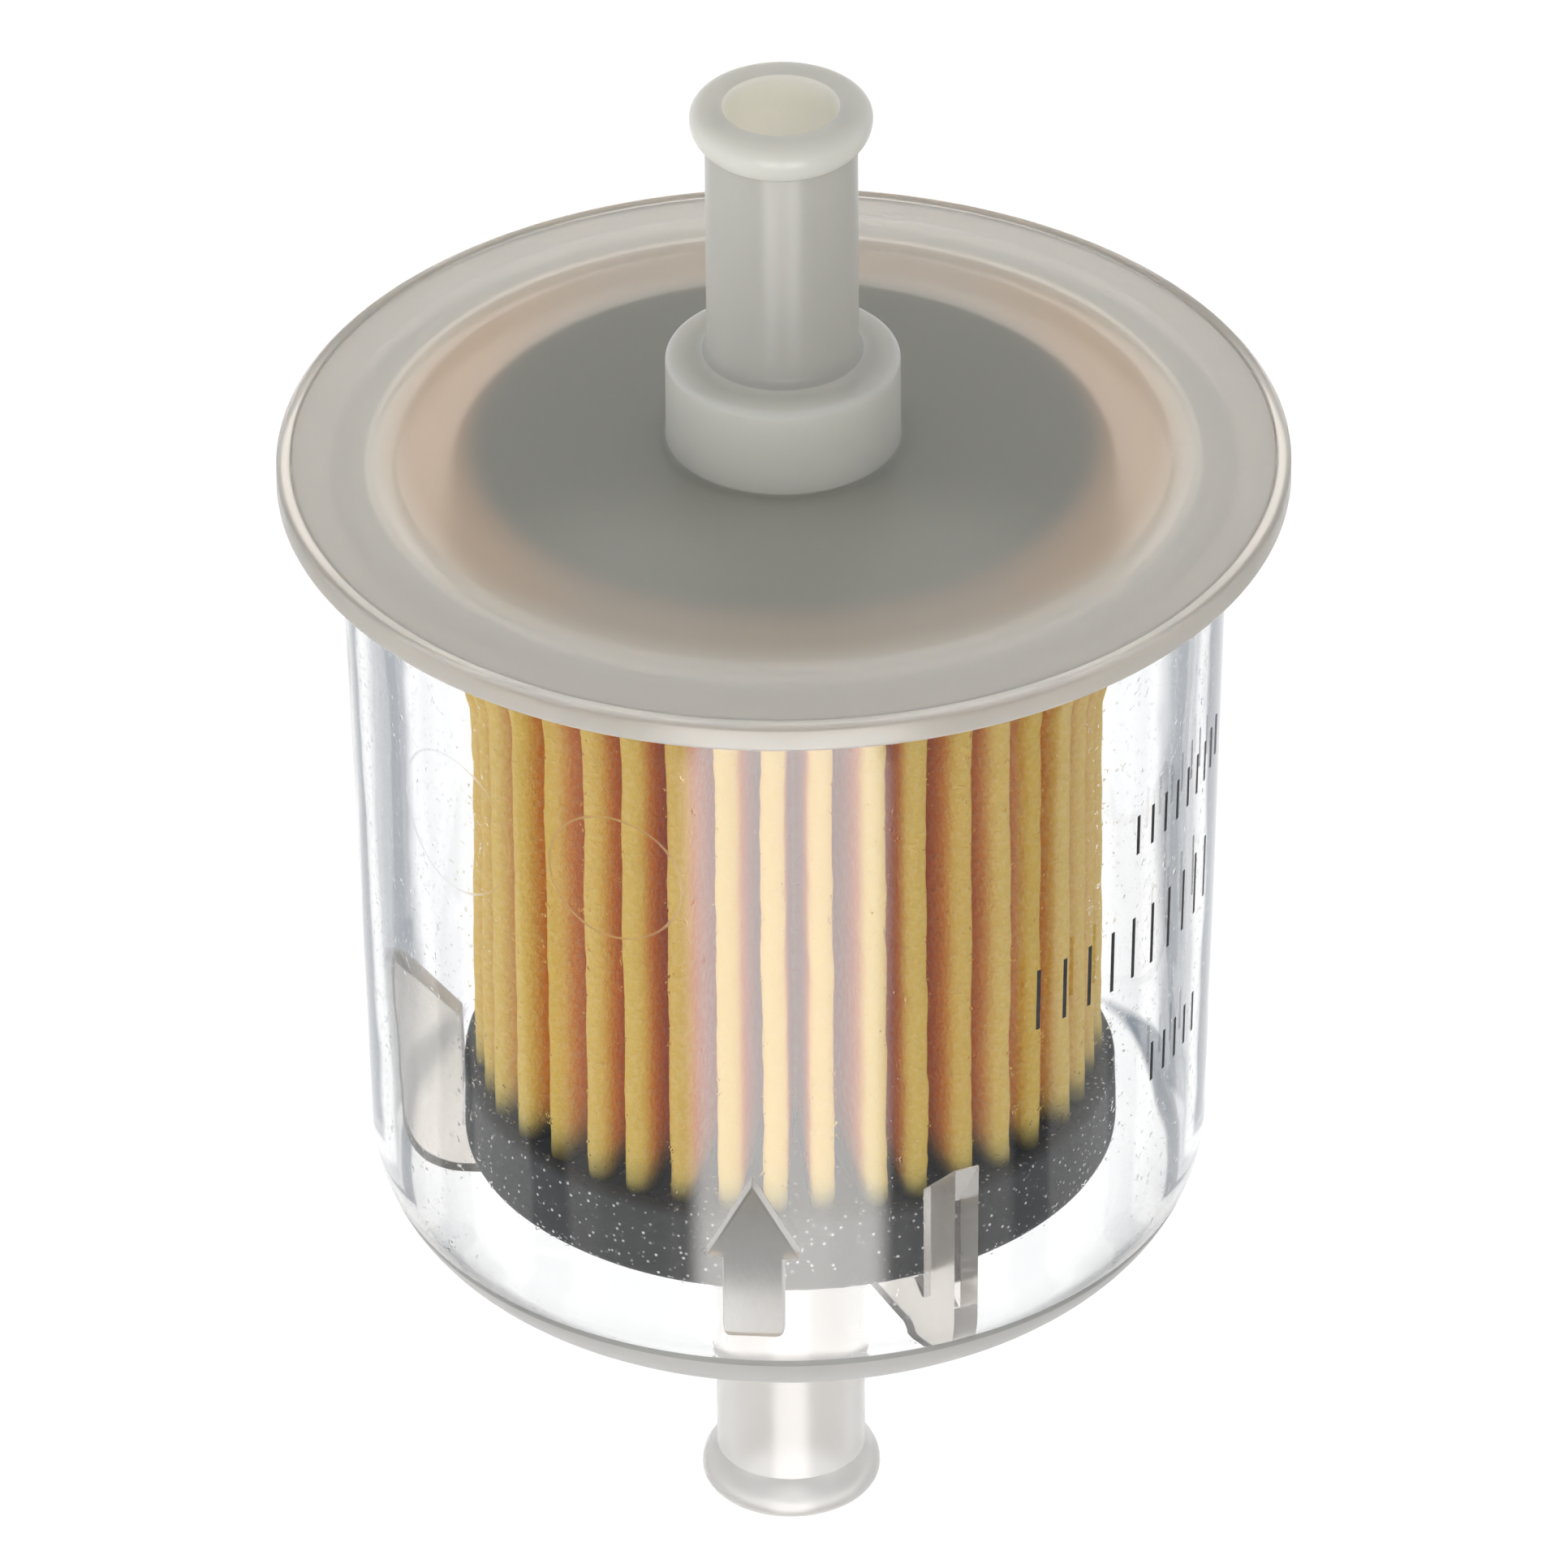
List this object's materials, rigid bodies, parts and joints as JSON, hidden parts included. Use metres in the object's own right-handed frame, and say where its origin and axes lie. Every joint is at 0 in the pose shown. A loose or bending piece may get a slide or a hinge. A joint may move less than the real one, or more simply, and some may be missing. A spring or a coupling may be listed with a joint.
{
  "type": "inline fuel filter",
  "caption": "Inline fuel filter: clear cup with flow arrow, milky flanged cap, hose barbs at both ends, pleated paper element between dark end caps.",
  "frame": {"origin": "on the filter's axis, at the end of the inlet barb", "axes": "+Z along the axis in the direction of flow, from the inlet barb to the outlet barb; -Y is the side with the flow arrow"},
  "size_m": [0.044, 0.044, 0.0715],
  "materials": {
    "clear_nylon": "clear, glossy, slightly greyish at the edges",
    "milky_nylon": "translucent natural nylon, satin",
    "plastisol": "matte dark grey, moulded, fine pale specks",
    "filter_paper": "resin-treated yellow paper, fibrous, orange in the folds, dark stain at the foot",
    "seam_glue": "amber glue line",
    "marking_ink": "thin black printed marks on the bowl's wall"
  },
  "bodies": {
    "root": {"inlet_bowl": "clear_nylon", "outlet_cap": "milky_nylon", "upper_end_cap": "plastisol", "lower_end_cap": "plastisol", "pleated_paper": "filter_paper", "paper_seam": "seam_glue"}
  },
  "joints": []
}
